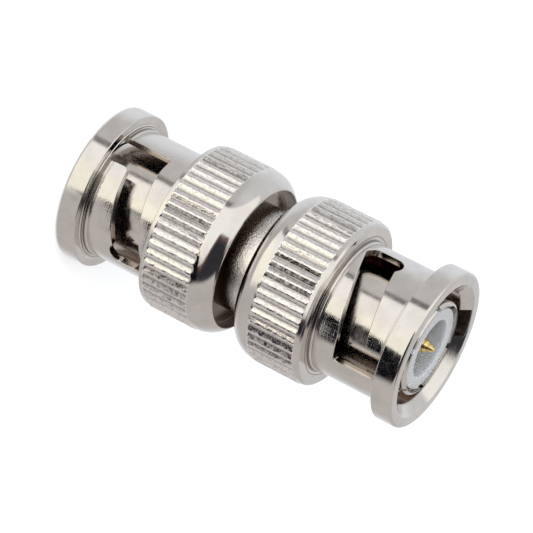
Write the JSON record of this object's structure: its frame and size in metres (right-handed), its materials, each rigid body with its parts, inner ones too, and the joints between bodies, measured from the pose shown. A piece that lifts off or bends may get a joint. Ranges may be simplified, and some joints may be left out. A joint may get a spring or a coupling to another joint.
{
  "type": "bnc connector",
  "caption": "Plug-to-plug coaxial adapter: a knurled bayonet coupling nut on a sprung seat at each end, slotted contacts, white insulators and a gold centre pin.",
  "frame": {"origin": "centre of the lower plug's mouth plane, which the part stands on", "axes": "+Z along the adapter's axis, up to the upper plug's mouth; -Y faces the picture's camera"},
  "size_m": [0.0144, 0.0144, 0.0318],
  "materials": {
    "nickel_nut": "bright nickel plate over brass",
    "nickel_contact": "bright nickel plate over brass",
    "nickel_collar": "nickel plate over brass, slightly speckled",
    "nickel_washer": "nickel plate over brass",
    "spring_steel": "spring steel",
    "gold": "gold plate over brass",
    "insulator": "white fluoropolymer, smooth and matte",
    "gasket": "dark red silicone"
  },
  "bodies": {
    "root": {"center_sleeve": "nickel_collar", "center_pin": "gold", "contact_body_lower": "nickel_contact", "contact_body_upper": "nickel_contact", "insulator_lower": "insulator", "insulator_upper": "insulator", "gasket_lower": "gasket", "gasket_upper": "gasket", "retaining_ring_lower": "spring_steel", "retaining_ring_upper": "spring_steel", "thrust_washer_lower": "nickel_washer", "thrust_washer_upper": "nickel_washer", "wave_washer_outer_lower": "spring_steel", "wave_washer_outer_upper": "spring_steel", "wave_washer_inner_lower": "spring_steel", "wave_washer_inner_upper": "spring_steel"},
    "thrust_lower": {"slip_washer_lower": "nickel_washer"},
    "nut_lower": {"coupling_nut_lower": "nickel_nut"},
    "thrust_upper": {"slip_washer_upper": "nickel_washer"},
    "nut_upper": {"coupling_nut_upper": "nickel_nut"}
  },
  "joints": [
    {"name": "nut_lower_push", "type": "slide", "parent": "root", "child": "thrust_lower", "axis": [0, 0, -1], "range_m": [0, 0.0007], "stiffness_N_per_m": 3000, "springref_m": -0.0004, "deforming": ["wave_washer_outer_lower", "wave_washer_inner_lower"]},
    {"name": "nut_lower_turn", "type": "hinge", "parent": "thrust_lower", "child": "nut_lower", "pos_m": [0, 0, 0], "axis": [0, 0, 1], "continuous": true},
    {"name": "nut_upper_push", "type": "slide", "parent": "root", "child": "thrust_upper", "axis": [0, 0, 1], "range_m": [0, 0.0007], "stiffness_N_per_m": 3000, "springref_m": -0.0004, "deforming": ["wave_washer_outer_upper", "wave_washer_inner_upper"]},
    {"name": "nut_upper_turn", "type": "hinge", "parent": "thrust_upper", "child": "nut_upper", "pos_m": [0, 0, 0.0318], "axis": [0, 0, 1], "continuous": true}
  ]
}
